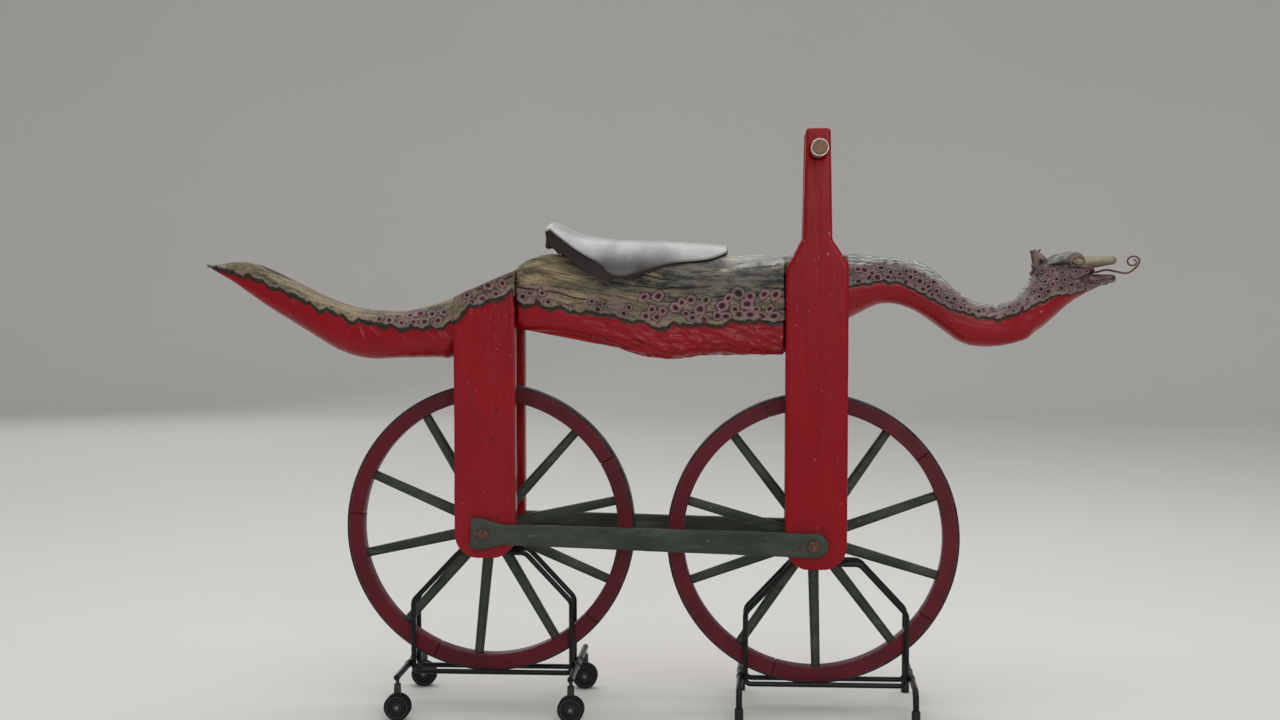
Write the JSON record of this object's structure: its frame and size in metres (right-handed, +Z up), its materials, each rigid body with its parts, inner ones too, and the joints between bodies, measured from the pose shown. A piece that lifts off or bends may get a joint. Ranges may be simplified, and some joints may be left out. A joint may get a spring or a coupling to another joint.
{
  "type": "wooden running machine",
  "caption": "Foot-propelled wooden running machine with a carved dragon body over spoked wooden wheels in line, held up by bent tube wheel stands.",
  "frame": {"origin": "on the floor, under the middle of the whole length", "axes": "+X forward to the dragon's head, +Y to the left, +Z up"},
  "size_m": [1.5378, 0.4, 0.954],
  "materials": {
    "dragon_paint": "carved wood, worn olive and ochre paint",
    "red_paint": "glossy scratched red paint on wood",
    "green_paint": "dull dark green paint on wood",
    "maroon_paint": "satin maroon paint on wood",
    "rusty_iron": "brown rusted iron",
    "tyre_iron": "dark worn iron band",
    "bar_wood": "dark oiled wood",
    "ferrule_metal": "worn bright metal",
    "saddle_leather": "silver grey creased leather",
    "stand_paint": "gloss black paint",
    "caster_plastic": "black plastic",
    "caster_steel": "dull zinc",
    "foot_rubber": "black rubber"
  },
  "bodies": {
    "root": {"trunk": "dragon_paint", "tail": "dragon_paint", "neck": "dragon_paint", "head": "dragon_paint", "tongue": "rusty_iron", "saddle": "saddle_leather", "handlebar": "bar_wood", "handlebar_ferrules": "ferrule_metal", "rear_upright_left": "red_paint", "front_upright_left": "red_paint", "side_rail_left": "green_paint", "rear_upright_right": "red_paint", "front_upright_right": "red_paint", "side_rail_right": "green_paint", "rear_axle": "rusty_iron", "rear_axle_nuts": "rusty_iron", "rear_axle_collars": "green_paint", "rear_stand_hoop_left": "stand_paint", "rear_stand_hoop_right": "stand_paint", "rear_stand_cross_tube_rear": "stand_paint", "rear_stand_cross_tube_front": "stand_paint", "front_axle": "rusty_iron", "front_axle_nuts": "rusty_iron", "front_axle_collars": "green_paint", "front_stand_hoop_left": "stand_paint", "front_stand_hoop_right": "stand_paint", "front_stand_cross_tube_rear": "stand_paint", "front_stand_cross_tube_front": "stand_paint", "front_stand_foot_caps": "foot_rubber"},
    "rear_wheel": {"rear_hub": "green_paint", "rear_spokes": "green_paint", "rear_felloes": "maroon_paint", "rear_tyre": "tyre_iron"},
    "front_wheel": {"front_hub": "green_paint", "front_spokes": "green_paint", "front_felloes": "maroon_paint", "front_tyre": "tyre_iron"},
    "caster_rear_left": {"caster_swivel_rear_left": "caster_steel"},
    "caster_wheel_rear_left": {"caster_discs_rear_left": "caster_plastic"},
    "caster_rear_right": {"caster_swivel_rear_right": "caster_steel"},
    "caster_wheel_rear_right": {"caster_discs_rear_right": "caster_plastic"},
    "caster_front_left": {"caster_swivel_front_left": "caster_steel"},
    "caster_wheel_front_left": {"caster_discs_front_left": "caster_plastic"},
    "caster_front_right": {"caster_swivel_front_right": "caster_steel"},
    "caster_wheel_front_right": {"caster_discs_front_right": "caster_plastic"}
  },
  "joints": [
    {"name": "rear_wheel_spin", "type": "hinge", "parent": "root", "child": "rear_wheel", "pos_m": [-0.29237, 0, 0.298], "axis": [0, 1, 0], "continuous": true},
    {"name": "front_wheel_spin", "type": "hinge", "parent": "root", "child": "front_wheel", "pos_m": [0.24163, 0, 0.284], "axis": [0, 1, 0], "continuous": true},
    {"name": "caster_rear_left_swivel", "type": "hinge", "parent": "root", "child": "caster_rear_left", "pos_m": [-0.42852, 0.125, 0.04], "axis": [0, 0, 1], "continuous": true},
    {"name": "caster_rear_left_roll", "type": "hinge", "parent": "caster_rear_left", "child": "caster_wheel_rear_left", "pos_m": [-0.42852, 0.125, 0.0215], "axis": [0, 1, 0], "continuous": true},
    {"name": "caster_rear_right_swivel", "type": "hinge", "parent": "root", "child": "caster_rear_right", "pos_m": [-0.42852, -0.125, 0.04], "axis": [0, 0, 1], "continuous": true},
    {"name": "caster_rear_right_roll", "type": "hinge", "parent": "caster_rear_right", "child": "caster_wheel_rear_right", "pos_m": [-0.42852, -0.125, 0.0215], "axis": [0, 1, 0], "continuous": true},
    {"name": "caster_front_left_swivel", "type": "hinge", "parent": "root", "child": "caster_front_left", "pos_m": [-0.14722, 0.125, 0.04], "axis": [0, 0, 1], "continuous": true},
    {"name": "caster_front_left_roll", "type": "hinge", "parent": "caster_front_left", "child": "caster_wheel_front_left", "pos_m": [-0.14722, 0.125, 0.0215], "axis": [0, 1, 0], "continuous": true},
    {"name": "caster_front_right_swivel", "type": "hinge", "parent": "root", "child": "caster_front_right", "pos_m": [-0.14722, -0.125, 0.04], "axis": [0, 0, 1], "continuous": true},
    {"name": "caster_front_right_roll", "type": "hinge", "parent": "caster_front_right", "child": "caster_wheel_front_right", "pos_m": [-0.14722, -0.125, 0.0215], "axis": [0, 1, 0], "continuous": true}
  ]
}
